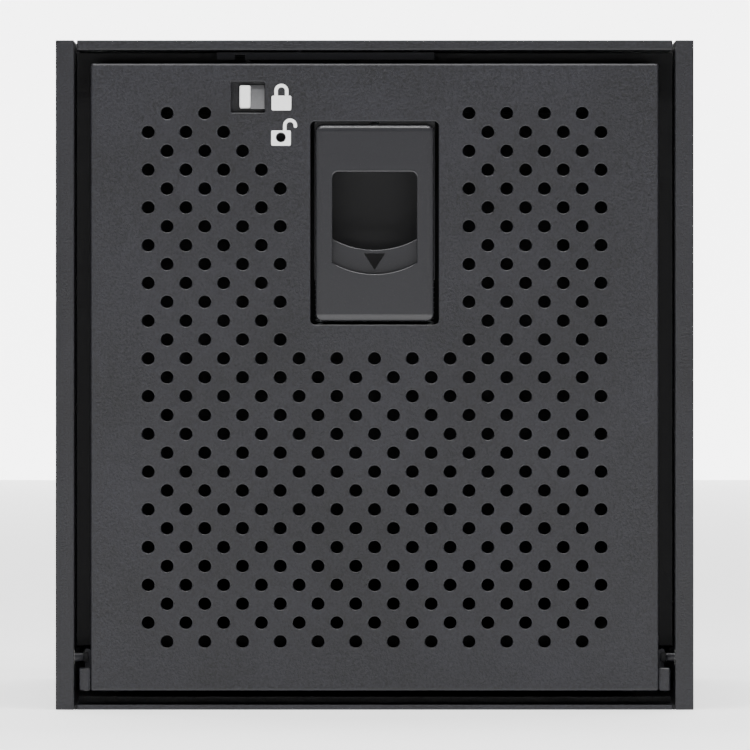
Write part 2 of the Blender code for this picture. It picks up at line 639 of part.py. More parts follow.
def make_lock():
    """Sliding lock: plate with the white flag, the tab that reaches the strike, and its retainer."""
    left, low, right, high = LOCK_WINDOW
    slide = box("lock_slide", (left - SLIDE_LEFT_LAP, BEHIND_SKIN, low - LOCK_LAP),
                (right + SLIDE_RIGHT_LAP, LOCK_BACK, high + LOCK_LAP))
    join_box(slide, (FLAG_RIGHT + GAP, DOOR_FRONT + GRIP_SETBACK, low + GRIP_LOW_MARGIN),
             (right - GRIP_SIDE_MARGIN, LOCK_BACK - GAP, high - GRIP_HIGH_MARGIN))
    join_box(slide, (TAB_LEFT, LOCK_BACK - GAP, low + TAB_FOOT), (TAB_RIGHT, TAB_BACK, high))
    join_box(slide, (TAB_LEFT, TAB_FRONT, high - SPARE), (TAB_RIGHT, TAB_BACK, BOLT_TOP))
    paint(slide, charcoal)
    flag = box("lock_flag", (FLAG_RIGHT - FLAG_WIDTH, DOOR_FRONT + GAP, low + FLAG_LOW_MARGIN),
               (FLAG_RIGHT, BEHIND_SKIN - GAP, high - FLAG_HIGH_MARGIN), rounded=EDGE_ROUNDING)
    paint(flag, white)
    foot_back = LOCK_BACK + GAP
    retainer_low, retainer_high = LOCK_BAY_BOTTOM + GAP, low + RETAINER_OVERLAP
    retainer = box("lock_retainer", (LOCK_BAY_LEFT + GAP, foot_back, retainer_low),
                   (LOCK_BAY_RIGHT - GAP, foot_back + RETAINER_SHEET, retainer_high))
    join_box(retainer, (LOCK_BAY_LEFT + GAP, BEHIND_SKIN, retainer_low),
             (left - SLIDE_LEFT_LAP - LOCK_TRAVEL - GAP, foot_back + SPARE / 2, retainer_high))
    join_box(retainer, (right + SLIDE_RIGHT_LAP + GAP, BEHIND_SKIN, retainer_low),
             (LOCK_BAY_RIGHT - GAP, foot_back + SPARE / 2, retainer_high))
    paint(retainer, inner)
    return [slide, flag], retainer


def make_release():
    """Emergency release: a sprung plunger behind the pin hole."""
    holder = box("release_holder", (RELEASE_X - HOLDER_HALF, BEHIND_SKIN, RELEASE_Z - HOLDER_HALF),
                 (RELEASE_X + HOLDER_HALF, RELEASE_BACK, RELEASE_Z + HOLDER_HALF), rounded=EDGE_ROUNDING)
    bore = rod("release_bore", (RELEASE_X, FRONT, RELEASE_Z),
               (RELEASE_X, RELEASE_BACK - WALL, RELEASE_Z), PLUNGER_RADIUS + GAP, BORE_SIDES)
    cut(holder, bore)
    paint(holder, inner)
    outline = [(0.0, 0.0), (PLUNGER_RADIUS, 0.0), (PLUNGER_RADIUS, -PLUNGER_HEAD),
               (STEM_RADIUS, -PLUNGER_HEAD), (STEM_RADIUS, -PLUNGER_LENGTH), (0.0, -PLUNGER_LENGTH)]
    plunger = turned("release_plunger", outline, (RELEASE_X, BEHIND_SKIN, RELEASE_Z), (0, -1, 0),
                     BORE_SIDES)
    paint(plunger, inner)
    coil_start = BEHIND_SKIN + RELEASE_COIL_START
    spring = coil("release_spring", (RELEASE_X, coil_start, RELEASE_Z), (0, 1, 0),
                  RELEASE_BACK - WALL - GAP - coil_start, RELEASE_COIL_RADIUS, RELEASE_COIL_TURNS)
    return holder, [plunger, spring]


def mount_on(name, place, pieces):
    """Empty on a joint's axis that carries the pieces which move with it."""
    pivot = bpy.data.objects.new(name, None)
    pivot.location = place
    parts.objects.link(pivot)
    for piece in pieces:
        piece.parent = pivot
        piece.matrix_parent_inverse = Matrix.Translation(-Vector(place))
    return pivot


left_panel, right_panel = (make_side(side, label) for side, label in SIDES)
top_panel = make_shell()
make_inside(left_panel, right_panel, top_panel)
door_pieces, door_liner = make_door()
case_pieces = make_latch_case(door_liner)
latch_pieces = make_latch()
lock_pieces, lock_retainer = make_lock()
release_holder, release_pieces = make_release()
latch_axis = mount_on("latch_axis", (0, SLIDER_FRONT, THUMB_TOP), latch_pieces)
lock_axis = mount_on("lock_axis", (TAB_LEFT, BEHIND_SKIN, RELEASE_Z), lock_pieces)
release_axis = mount_on("release_axis", (RELEASE_X, BEHIND_SKIN, RELEASE_Z), release_pieces)
mount_on("door_axis", (0, HINGE_Y, HINGE_HEIGHT),
         door_pieces + case_pieces + [lock_retainer, release_holder, latch_axis, lock_axis, release_axis])
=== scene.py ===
"""Looks of the small parcel compartment: fine meshes, moulded plastic and a plain pale studio."""
import json
import math

import bmesh
import bpy
from mathutils import Matrix, Vector


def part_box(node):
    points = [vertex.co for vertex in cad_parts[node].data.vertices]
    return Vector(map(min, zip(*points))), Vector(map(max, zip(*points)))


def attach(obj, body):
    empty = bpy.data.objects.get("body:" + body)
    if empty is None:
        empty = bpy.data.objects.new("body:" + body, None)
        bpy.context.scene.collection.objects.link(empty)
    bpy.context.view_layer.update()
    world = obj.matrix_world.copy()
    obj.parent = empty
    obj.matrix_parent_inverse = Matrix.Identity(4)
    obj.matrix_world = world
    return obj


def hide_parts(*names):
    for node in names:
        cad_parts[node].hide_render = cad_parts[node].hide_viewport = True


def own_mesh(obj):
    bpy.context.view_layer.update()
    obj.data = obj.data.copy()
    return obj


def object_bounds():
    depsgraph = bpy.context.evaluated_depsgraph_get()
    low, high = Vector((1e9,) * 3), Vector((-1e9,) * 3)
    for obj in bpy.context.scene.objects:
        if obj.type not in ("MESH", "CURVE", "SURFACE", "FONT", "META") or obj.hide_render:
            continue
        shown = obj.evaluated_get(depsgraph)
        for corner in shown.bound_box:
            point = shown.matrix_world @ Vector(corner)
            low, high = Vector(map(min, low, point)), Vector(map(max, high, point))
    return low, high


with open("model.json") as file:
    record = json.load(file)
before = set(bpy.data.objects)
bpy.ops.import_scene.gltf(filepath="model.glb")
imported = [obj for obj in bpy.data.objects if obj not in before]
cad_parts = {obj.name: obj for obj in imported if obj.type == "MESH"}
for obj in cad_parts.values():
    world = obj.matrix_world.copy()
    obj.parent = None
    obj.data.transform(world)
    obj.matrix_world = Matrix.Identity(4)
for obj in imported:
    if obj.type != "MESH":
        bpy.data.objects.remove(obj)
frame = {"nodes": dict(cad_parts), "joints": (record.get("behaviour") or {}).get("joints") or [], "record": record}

cad_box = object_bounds()

# Sizes and places that the frame doesn't hold. Lengths are in metres.

# Vent holes: a lattice with a hole on every second point.
VENT_PITCH = 0.0050
VENT_RADIUS = 0.00165
VENT_SIDES = 24
VENT_COLUMNS = 25
VENT_ROWS = 29
VENT_TOP = 0.1581
SOLID_ROWS = 12
SOLID_COLUMNS = (8, 16)
SLANT_COLUMN = 3

# Door skin and latch plate.
RIM = 0.00024
DOOR_EDGE = 0.00060
DOOR_CORNER = 0.00070
PLATE_EDGE = 0.00190
PLATE_EDGE_DEPTH = 0.00110
PLATE_CORNER = 0.00195
PLATE_CORNER_STEPS = 8
OPENING_EDGE = 0.00035
OPENING_SEGMENTS = 6
LATCH_OPENING_MARGIN = (0.0013, 0.00085)
LATCH_OPENING_CORNER = 0.0013
FINGER_HALF = 0.0112
FINGER_TOP = 0.1425
FINGER_BOTTOM = 0.11545
FINGER_ARC = 0.0221
FINGER_ARC_STEPS = 24
FINGER_CORNER = 0.0015

# Printed marks, and the arrow as a flat mark of painted shade for its recess, as (left, low, width, height) and
# (middle, height of the arc's centre, foot).
MARK_HALF_DEPTH = 0.00003
SLIDER_EDGE = 0.00030
ARROW_HALF = 0.0028
ARROW_TOP = 0.12095
ARROW_TIP = 0.1166
PADLOCK_CORNER = 0.0004
PADLOCK_CORNER_STEPS = 4
CLOSED_BODY = (-0.0273, 0.1588, 0.0052, 0.0039)
CLOSED_SHACKLE = (-0.0247, 0.1640, 0.1627)
OPEN_BODY = (-0.0274, 0.14945, 0.0052, 0.00405)
OPEN_SHACKLE = (-0.0224, 0.1548, 0.1535)
OPEN_END = 0.1546
OPEN_END_STEPS = 6
SHACKLE_STROKE = 0.00090
SHACKLE_RADIUS = 0.00185
SHACKLE_STEPS = 16

# Lock window as (left, low, right, high), pin hole as (x, z, radius), and the slide behind them.
WINDOW = (-0.03805, 0.1582, -0.02905, 0.1664)
WINDOW_CORNER = 0.0004
PIN_HOLE = (-0.02484, 0.15165, 0.0011)
PIN_SIDES = 20
LOCK_EDGE = 0.00025
GRIP_SUNK = 0.0022
LOCK_FLOOR_INSET = 0.0020
LOCK_FLOOR_BEHIND = 0.0002
LOCK_FLOOR_BEFORE = 0.0003
LOCK_GAP = 0.0001
SLOPE = (0.1592, 0.1656, -0.02908)
SLOPE_DEPTH = 0.0019
SLOPE_FALL = 0.0016
SLOPE_EDGE = 0.00015

# Casing, door frame, hinge arms and the slits beside the base.
CASING_EDGES = {"left_side_panel": 0.00015, "right_side_panel": 0.00015, "top_panel": 0.00012}
FRAME_EDGE = 0.00030
FRAME_CLEARANCE = 0.0003
ARM_EDGE = 0.00035
ARM_FACE = 0.07690
FOOT_TOP = 0.0112
FOOT_INNER = 0.0757
WEB_FRONT = -0.1158
# The hinge collar is painted shade: a dark ring put where the foot of each hinge pin lies in shade.
SHADE_COLLAR_RADIUS = 0.00130
SHADE_COLLAR_LENGTH = 0.0013
SHADE_COLLAR_END = 0.0772
SHADE_COLLAR_EDGE = 0.0003
# The strips in the slits beside the base are painted shade: dark sheets where the slits lie in shade.
SHADE_STRIP_GAP = 0.00004
SHADE_STRIP_TOP = 0.0012
SHADE_STRIP_FRONT = 0.0002
SHADE_STRIP_BACK = 0.0032

# Springs and screws.
SPRING_WIRE = 0.0002
WIRE_RESOLUTION = 3
COIL_STEPS = 24
LATCH_SPRING_TURNS = 9
RELEASE_SPRING_TURNS = 5
HEAD_DIAMETER = 0.0039
HEAD_EDGE = 0.00008
RIM_SHARE = 0.4
SCREW_EDGE = 0.00015
CROSS_DEPTH = 0.0006
CROSS_HALF_WIDTH = 0.00022
CROSS_REACH = 0.0010

# Pieces that keep their CAD shape, with the widths of their rounded edges.
SOFT_EDGES = {
    "base_panel": 0.00015, "back_panel": 0.0004, "floor_shelf": 0.0004, "door_liner": 0.0004,
    "latch_housing": 0.0003, "finger_cup": 0.0004, "lock_retainer": 0.0002, "release_holder": 0.0003,
    "strike_plate": 0.0002, "latch_bolt": 0.0003, "frame_bracket_left": 0.0003,
    "frame_bracket_right": 0.0003, "shelf_rail_left": 0.0003, "shelf_rail_right": 0.0003,
    "hinge_bush_left": 0.00012, "hinge_bush_right": 0.00012, "release_plunger": 0.00015,
}

# Meshes: steps round a corner and a small circle, angles in degrees and distances.
CORNER_STEPS = 6
ROUND_SIDES = 32
SHARP_ANGLE = 32
SOFT_SHARP_ANGLE = 40
COIL_SHARP_ANGLE = 50
FLAT_ANGLE = 0.5
SHEET_WELD = 0.000001
CAD_WELD = 0.000002
FACES_FRONT = 0.999
EDGE_SLACK = 1.01
FULL_WEIGHT = 100

# Plastic and metal textures.
FLOW_SCALE = 45.0
FLOW_DETAIL = 5.0
GRAIN_DETAIL = 4.0
GRAIN_ROUGHNESS = 0.65
GRAIN_STRENGTH = 0.6
GRAIN_SHARE = 0.8
TONE_RANGE = (0.36, 0.64)
PLASTIC_GLOSS_SPREAD = 0.06
STREAK_LONG = 60
STREAK_FINE = 2500
STREAK_DETAIL = 3.0
STREAK_SHADE = 0.82
STREAK_STRENGTH = 0.3
STREAK_DEPTH = 0.00002
METAL_GLOSS_SPREAD = 0.08

# Studio and camera.
FLOOR_SIZE = 9.6
FLOOR_GLOW = 0.85
BACKDROP_SIZE = 15
BACKDROP_DISTANCE = 4.7
BACKDROP_GLOW = 4.5
WORLD_GLOW = 0.075
CAMERA_DISTANCE = 2.2
CAMERA_SHIFT = 0.0001
VIEW_WIDTH = 0.1986
SENSOR_WIDTH = 36
CLIP_END = 20

bodies = {}
for joint_body, members in frame["record"]["behaviour"]["bodies"].items():
    for member in members:
        bodies[member] = joint_body
slots = {row["node"]: row["material_slot"] for row in frame["record"]["subparts"]}
joints = {joint["name"]: joint for joint in frame["joints"]}


# ---------------------------------------------------------------- materials

def shader_of(name):
    """New material with nodes, and its tree, shader and object coordinates."""
    made = bpy.data.materials.new(name)
    made.use_nodes = True
    tree = made.node_tree
    return made, tree, tree.nodes["Principled BSDF"], tree.nodes.new("ShaderNodeTexCoord")


def add_relief(tree, shader, height, middle, spread, strength, depth):
    """Let one texture vary the roughness and raise the surface."""
    gloss = tree.nodes.new("ShaderNodeMapRange")
    gloss.inputs["To Min"].default_value = middle - spread
    gloss.inputs["To Max"].default_value = middle + spread
    tree.links.new(height, gloss.inputs["Value"])
    tree.links.new(gloss.outputs["Result"], shader.inputs["Roughness"])
    bump = tree.nodes.new("ShaderNodeBump")
    bump.inputs["Strength"].default_value = strength
    bump.inputs["Distance"].default_value = depth
    tree.links.new(height, bump.inputs["Height"])
    tree.links.new(bump.outputs["Normal"], shader.inputs["Normal"])


def plastic(name, colour, roughness, grain, grain_depth, mottle=0.10, specular=0.5):
    """Moulded plastic: fine spark-eroded grain, faint flow mottling and uneven gloss."""
    made, tree, shader, place = shader_of(name)
    shader.inputs["Specular IOR Level"].default_value = specular
    flow = tree.nodes.new("ShaderNodeTexNoise")
    flow.inputs["Scale"].default_value = FLOW_SCALE
    flow.inputs["Detail"].default_value = FLOW_DETAIL
    fine = tree.nodes.new("ShaderNodeTexNoise")
    fine.inputs["Scale"].default_value = grain
    fine.inputs["Detail"].default_value = GRAIN_DETAIL
    fine.inputs["Roughness"].default_value = GRAIN_ROUGHNESS
    for texture in (flow, fine):
        tree.links.new(place.outputs["Object"], texture.inputs["Vector"])
    tone = tree.nodes.new("ShaderNodeValToRGB")
    for element, position, lift in zip(tone.color_ramp.elements, TONE_RANGE, (1 - mottle, 1 + mottle)):
        element.position = position
        element.color = (*[c * lift for c in colour], 1)
    blend = tree.nodes.new("ShaderNodeMix")
    blend.inputs["Factor"].default_value = GRAIN_SHARE
    tree.links.new(flow.outputs["Fac"], blend.inputs["A"])
    tree.links.new(fine.outputs["Fac"], blend.inputs["B"])
    tree.links.new(blend.outputs["Result"], tone.inputs["Fac"])
    tree.links.new(tone.outputs["Color"], shader.inputs["Base Color"])
    add_relief(tree, shader, fine.outputs["Fac"], roughness, PLASTIC_GLOSS_SPREAD,
               GRAIN_STRENGTH, grain_depth)
    return made


def metal(name, colour, roughness, streak_axis):
    """Zinc plated or blackened steel: streaks along one axis and uneven gloss."""
    made, tree, shader, place = shader_of(name)
    shader.inputs["Metallic"].default_value = 1.0
    stretch = tree.nodes.new("ShaderNodeMapping")
    scale = [STREAK_LONG if axis == streak_axis else STREAK_FINE for axis in range(3)]
    stretch.inputs["Scale"].default_value = scale
    tree.links.new(place.outputs["Object"], stretch.inputs["Vector"])
    streaks = tree.nodes.new("ShaderNodeTexNoise")
    streaks.inputs["Scale"].default_value = 1.0
    streaks.inputs["Detail"].default_value = STREAK_DETAIL
    tree.links.new(stretch.outputs["Vector"], streaks.inputs["Vector"])
    tone = tree.nodes.new("ShaderNodeValToRGB")
    tone.color_ramp.elements[0].color = (*[c * STREAK_SHADE for c in colour], 1)
    tone.color_ramp.elements[1].color = (*colour, 1)
    tree.links.new(streaks.outputs["Fac"], tone.inputs["Fac"])
    tree.links.new(tone.outputs["Color"], shader.inputs["Base Color"])
    add_relief(tree, shader, streaks.outputs["Fac"], roughness, METAL_GLOSS_SPREAD,
               STREAK_STRENGTH, STREAK_DEPTH)
    return made


# Looks by the slot that the record gives each node. A plastic has a colour, roughness, grain scale and
# grain depth, and a metal has a colour, roughness and the axis that its streaks run along.
CHARCOAL = (0.0072, 0.0072, 0.0103)
# Painted shade: the casing's copy of the charcoal plastic is darker, for the posts and top rail that sit darker in
# the light.
CASING_SHADED_CHARCOAL = (0.0058, 0.0058, 0.0083)
GRAPHITE = (0.0190, 0.0190, 0.0215)
looks = {
    "charcoal_plastic": plastic("charcoal_moulded", CHARCOAL, 0.42, 1700, 0.00016, mottle=0.90),
    "graphite_plastic": plastic("graphite_moulded", GRAPHITE, 0.25, 3200, 0.00002, mottle=0.12),
    "inner_plastic": plastic("inner_moulded", (0.0060, 0.0060, 0.0068), 0.62, 2000, 0.00005, specular=0.35),
    "white_plastic": plastic("white_moulded", (0.92, 0.92, 0.92), 0.42, 3000, 0.00002, mottle=0.02),
    "acetal_plastic": plastic("acetal_moulded", (0.55, 0.55, 0.53), 0.38, 2500, 0.00002, mottle=0.03),
    "zinc_steel": metal("zinc_plated", (0.58, 0.59, 0.61), 0.34, 0),
    "black_steel": metal("black_passivated", (0.020, 0.020, 0.022), 0.46, 0),
}
# Painted shade: the same charcoal plastic in a darker tone for the casing.
casing_shaded_look = plastic("casing_shaded_moulded", CASING_SHADED_CHARCOAL, 0.42, 1700, 0.00016, mottle=0.90)
# Partly painted sheen: the slope's light grey is partly its own grey and partly the light that its tilted face
# catches.
slope_grey_and_sheen_look = plastic("lock_slope", (0.12, 0.12, 0.124), 0.30, 2600, 0.00002, mottle=0.08)
# Painted shade: the collar's dark, dull plastic stands for the shade round the foot of each hinge pin.
shade_collar_look = plastic("painted_shade_collar", (0.0040, 0.0040, 0.0045), 0.85, 2600, 0.00002, specular=0.15)
symbol_ink = plastic("symbol_print", (0.92, 0.92, 0.92), 0.50, 4000, 0.00001, mottle=0.03)
# Painted shade: the arrow's near-black stands for the shade in its recess.
arrow_shade_paint = plastic("arrow_recess_shade", (0.0012, 0.0012, 0.0014), 0.70, 3000, 0.00002, specular=0.15)


# ---------------------------------------------------------------- shapes

def show(name, mesh, look, body, slot, *replaced):
    """Piece with a material that rides on a body and may stand for CAD nodes."""
    piece = bpy.data.objects.new(name, mesh)
    bpy.context.scene.collection.objects.link(piece)
    mesh.materials.clear()
    mesh.materials.append(look)
    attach(piece, body)
    if replaced:
        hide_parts(*replaced)
    return piece


def smooth(mesh, degrees=SHARP_ANGLE):
    mesh.shade_smooth()
    mesh.set_sharp_from_angle(angle=math.radians(degrees))


def mesh_of(curve):
    """Mesh of a curve, which is then dropped."""
    made = bpy.data.objects.new(curve.name, curve)
    bpy.context.scene.collection.objects.link(made)
    bpy.context.view_layer.update()
    mesh = bpy.data.meshes.new_from_object(made.evaluated_get(bpy.context.evaluated_depsgraph_get()))
    bpy.data.objects.remove(made)
    return mesh


def circle(x, z, radius, sides):
    angles = [2 * math.pi * i / sides for i in range(sides)]
    return [(x + radius * math.cos(a), z + radius * math.sin(a)) for a in angles]


def arc(x, z, radius, start, end, steps):
    """Points on an arc between two angles in degrees, ends included."""
    angles = [math.radians(start + (end - start) * i / steps) for i in range(steps + 1)]
    return [(x + radius * math.cos(a), z + radius * math.sin(a)) for a in angles]


def rectangle(left, low, right, high):
    return [(right, high), (left, high), (left, low), (right, low)]


def rounded_rectangle(left, low, right, high, radius, steps=CORNER_STEPS):
    return (arc(right - radius, high - radius, radius, 0, 90, steps)
            + arc(left + radius, high - radius, radius, 90, 180, steps)
            + arc(left + radius, low + radius, radius, 180, 270, steps)
            + arc(right - radius, low + radius, radius, 270, 360, steps))


def sheet(name, outline, holes, front, back, edge, segments=2):
    """Upright plate from front to back (Y) whose outline and holes have rounded edges."""
    curve = bpy.data.curves.new(name, "CURVE")
    curve.dimensions = "2D"
    curve.fill_mode = "BOTH"
    curve.extrude = (back - front) / 2 - edge
    curve.bevel_depth = edge
    curve.offset = -edge
    curve.bevel_resolution = segments
    for points in [outline] + [hole[::-1] for hole in holes]:
        spline = curve.splines.new("POLY")
        spline.points.add(len(points) - 1)
        for point, (x, z) in zip(spline.points, points):
            point.co = (x, z, 0, 1)
        spline.use_cyclic_u = True
    mesh = mesh_of(curve)
    mesh.transform(Matrix.Translation((0, (front + back) / 2, 0)) @ Matrix.Rotation(math.pi / 2, 4, "X"))
    shape = bmesh.new()
    shape.from_mesh(mesh)
    bmesh.ops.remove_doubles(shape, verts=shape.verts, dist=SHEET_WELD)
    bmesh.ops.recalc_face_normals(shape, faces=shape.faces)
    shape.to_mesh(mesh)
    shape.free()
    mesh.name = name
    smooth(mesh)
    for face in mesh.polygons:
        face.use_smooth = abs(face.normal.y) < FACES_FRONT
    return mesh


def even_out(piece):
    """Let the large flat faces set the normals, so that their rounded edges don't shade them."""
    normals = piece.modifiers.new("weighted", "WEIGHTED_NORMAL")
    normals.keep_sharp = True
    normals.weight = FULL_WEIGHT


def widen_edge(mesh, low, high, corner, edge, wide, deep):
    """Grow the rounding of a plate's outer front edge to wide by deep, leaving its holes alone."""
    middle = (low + high) / 2
    straight = (high.x - middle.x - corner, high.z - middle.z - corner)
    for vertex in mesh.vertices:
        offset = Vector((vertex.co.x - middle.x, vertex.co.z - middle.z))
        nearest = Vector([max(-half, min(half, along)) for along, half in zip(offset, straight)])
        outward = offset - nearest
        inset = corner - outward.length
        if inset > edge * EDGE_SLACK:
            continue
        offset -= outward.normalized() * inset * (wide / edge - 1)
        vertex.co.x = middle.x + offset.x
        vertex.co.z = middle.z + offset.y
        depth = vertex.co.y - low.y
        if depth <= edge * EDGE_SLACK:
            vertex.co.y += depth * (deep / edge - 1)


def soften(node, width, segments=3, join_flats=True):
    """Fine copy of a CAD node with every sharp edge rounded; it stands for the node."""
    mesh = frame["nodes"][node].data.copy()
    shape = bmesh.new()
    shape.from_mesh(mesh)
    bmesh.ops.remove_doubles(shape, verts=shape.verts, dist=CAD_WELD)
    if join_flats:
        flat = math.radians(FLAT_ANGLE)
        bmesh.ops.dissolve_limit(shape, angle_limit=flat, verts=shape.verts, edges=shape.edges)
    shape.to_mesh(mesh)
    shape.free()
    slot = slots[node]
    piece = show(f"{node}_fine", mesh, looks[slot], bodies[node], slot, node)
    bevel = piece.modifiers.new("rounded", "BEVEL")
    bevel.width = width
    bevel.segments = segments
    bevel.limit_method = "ANGLE"
    bevel.angle_limit = math.radians(SHARP_ANGLE)
    bevel.harden_normals = False
    smooth(mesh, SOFT_SHARP_ANGLE)
    even_out(piece)
    return piece


# ---------------------------------------------------------------- door

door_low, door_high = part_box("door_panel")
plate_low, plate_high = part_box("latch_plate")


def has_vent(column, row):
    """Every second lattice point, but none round the latch and none in the corner with the lock."""
    first, last = SOLID_COLUMNS
    if (column + row) % 2 == 0 or (row <= SOLID_ROWS and first <= column <= last):
        return False
    return column > last or row > SOLID_ROWS or column <= SLANT_COLUMN + row


def make_door_skin():
    """Perforated skin with its latch opening, lock window and pin hole."""
    first = -VENT_PITCH * (VENT_COLUMNS - 1) / 2
    holes = [circle(first + column * VENT_PITCH, VENT_TOP - row * VENT_PITCH, VENT_RADIUS, VENT_SIDES)
             for row in range(VENT_ROWS) for column in range(VENT_COLUMNS) if has_vent(column, row)]
    side, end = LATCH_OPENING_MARGIN
    holes.append(rounded_rectangle(plate_low.x - side, plate_low.z - end, plate_high.x + side,
                                   plate_high.z + end, LATCH_OPENING_CORNER))
    holes.append(rounded_rectangle(*WINDOW, WINDOW_CORNER))
    holes.append(circle(*PIN_HOLE, PIN_SIDES))
    outline = rounded_rectangle(door_low.x, door_low.z, door_high.x, door_high.z, DOOR_CORNER)
    mesh = sheet("door_skin", outline, holes, door_low.y, door_high.y, RIM)
    widen_edge(mesh, door_low, door_high, DOOR_CORNER, RIM, DOOR_EDGE, DOOR_EDGE)
    even_out(show("door_skin", mesh, looks["charcoal_plastic"], "door", "charcoal_plastic", "door_panel"))


def finger_opening():
    """Outline of the finger opening: square shoulders above, a sagging arc below."""
    shoulder = FINGER_HALF - FINGER_CORNER
    height = FINGER_TOP - FINGER_CORNER
    reach = math.degrees(math.asin(FINGER_HALF / FINGER_ARC))
    return (arc(shoulder, height, FINGER_CORNER, 0, 90, CORNER_STEPS)
            + arc(-shoulder, height, FINGER_CORNER, 90, 180, CORNER_STEPS)
            + arc(0, FINGER_BOTTOM + FINGER_ARC, FINGER_ARC, 270 - reach, 270 + reach, FINGER_ARC_STEPS))


def make_latch_plate():
    """Latch plate with a wide soft outer edge and a fine edge round the finger opening."""
    body_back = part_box("door_liner")[0].y
    outline = rounded_rectangle(plate_low.x, plate_low.z, plate_high.x, plate_high.z, PLATE_CORNER,
                                PLATE_CORNER_STEPS)
    mesh = sheet("escutcheon", outline, [finger_opening()], plate_low.y, body_back, OPENING_EDGE,
                 OPENING_SEGMENTS)
    widen_edge(mesh, plate_low, plate_high, PLATE_CORNER, OPENING_EDGE, PLATE_EDGE, PLATE_EDGE_DEPTH)
    even_out(show("escutcheon", mesh, looks["graphite_plastic"], "door", "graphite_plastic", "latch_plate"))


def ink_and_shade_mark(name, outline, holes, face, ink_and_shade_look, body, slot):
    """Flat mark on an upright face: printed ink for the symbols, painted shade for the arrow."""
    mark = sheet(name, outline, holes, face - MARK_HALF_DEPTH, face + MARK_HALF_DEPTH, MARK_HALF_DEPTH / 3, 1)
    show(name, mark, ink_and_shade_look, body, slot)


def make_thumb_piece():
    """Thumb slide with a lip that sags between the arms, and the arrow on it as a flat dark mark of painted shade
    for its recess.
    """
    soften("latch_slider", SLIDER_EDGE, join_flats=False)
    arrow = [(ARROW_HALF, ARROW_TOP), (-ARROW_HALF, ARROW_TOP), (0.0, ARROW_TIP)]
    # Painted shade: the arrow is flush and dark instead of recessed.
    ink_and_shade_mark("arrow_mark", arrow, [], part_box("latch_slider")[0].y, arrow_shade_paint, "latch", "inner_plastic")


def padlock(name, body, holes, shackle):
    """Printed padlock: a body with round corners and a shackle outline above it."""
    left, low, width, height = body
    block = rounded_rectangle(left, low, left + width, low + height, PADLOCK_CORNER, PADLOCK_CORNER_STEPS)
    ink_and_shade_mark(f"symbol_{name}_body", block, holes, door_low.y, symbol_ink, "door", "white_plastic")
    ink_and_shade_mark(f"symbol_{name}_shackle", shackle, [], door_low.y, symbol_ink, "door", "white_plastic")


def shackle_bow(middle, centre, foot):
    """Left leg and bow of a shackle, up to the place where its right leg begins."""
    inner = SHACKLE_RADIUS - SHACKLE_STROKE
    return (arc(middle, centre, SHACKLE_RADIUS, 0, 180, SHACKLE_STEPS)
            + [(middle - SHACKLE_RADIUS, foot), (middle - inner, foot)]
            + arc(middle, centre, inner, 180, 0, SHACKLE_STEPS))


def make_symbols():
    """Closed padlock with both legs in its body, open padlock with one leg free and the pin hole."""
    middle, _, foot = CLOSED_SHACKLE
    inner = SHACKLE_RADIUS - SHACKLE_STROKE
    right_leg = [(middle + inner, foot), (middle + SHACKLE_RADIUS, foot)]
    padlock("closed", CLOSED_BODY, [], shackle_bow(*CLOSED_SHACKLE) + right_leg)
    half = SHACKLE_STROKE / 2
    end = arc(OPEN_SHACKLE[0] + SHACKLE_RADIUS - half, OPEN_END, half, 180, 360, OPEN_END_STEPS)
    pin = circle(PIN_HOLE[0], PIN_HOLE[1], PIN_HOLE[2] + RIM, PIN_SIDES)
    padlock("open", OPEN_BODY, [pin], shackle_bow(*OPEN_SHACKLE) + end)


def make_lock():
    """Lock slide seen through its window: a floor, the white flag and a sloped grip beside it, whose light grey is
    partly its own grey and partly painted sheen.
    """
    flag_low, flag_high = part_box("lock_flag")
    slide = soften("lock_slide", LOCK_EDGE)
    sunk = door_low.y + GRIP_SUNK
    for vertex in slide.data.vertices:
        vertex.co.y = max(vertex.co.y, sunk)
    outline = rectangle(WINDOW[0] + LOCK_FLOOR_INSET, flag_low.z, flag_low.x - LOCK_GAP, flag_high.z)
    ramp = sheet("lock_ramp", outline, [], sunk - LOCK_FLOOR_BEFORE, sunk + LOCK_FLOOR_BEHIND, LOCK_GAP, 1)
    show("lock_ramp", ramp, looks["charcoal_plastic"], "lock", "charcoal_plastic")
    soften("lock_flag", LOCK_EDGE)
    bottom, top, right = SLOPE
    outline = [(flag_high.x - LOCK_GAP, bottom), (right, bottom), (right, top), (flag_high.x - LOCK_GAP, top)]
    slope = sheet("lock_slope", outline, [], sunk - SLOPE_DEPTH, sunk + LOCK_GAP, SLOPE_EDGE)
    for vertex in slope.vertices:
        if vertex.co.y < sunk - SLOPE_DEPTH / 2:
            vertex.co.y += SLOPE_FALL * (vertex.co.z - bottom) / (top - bottom)
    # Partly painted sheen: the slope is drawn lighter than the charcoal slide it belongs to.
    show("lock_slope", slope, slope_grey_and_sheen_look, "lock", "charcoal_plastic")


# ---------------------------------------------------------------- casing, frame and hinge arms

def make_casing():
    """Sides and top of the casing in a slightly darker copy of the charcoal plastic, which is painted shade, with
    a dark strip of painted shade beside the base.
    """
    for node, width in CASING_EDGES.items():
        soften(node, width).data.materials[0] = casing_shaded_look
    low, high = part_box("base_panel")
    inner, outer = high.x + SHADE_STRIP_GAP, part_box("hinge_bush_right")[0].x - SHADE_STRIP_GAP
    for label, left, right in (("left", -outer, -inner), ("right", inner, outer)):
        # Painted shade: a dark strip that closes each slit beside the base, standing for the shade there.
        outline = rectangle(left, SHADE_STRIP_GAP, right, SHADE_STRIP_TOP)
        shade_strip = sheet(f"base_shade_strip_{label}", outline, [], low.y + SHADE_STRIP_FRONT, low.y + SHADE_STRIP_BACK,
                      SHADE_STRIP_GAP, 1)
        show(f"base_shade_strip_{label}", shade_strip, looks["inner_plastic"], "casing", "inner_plastic")


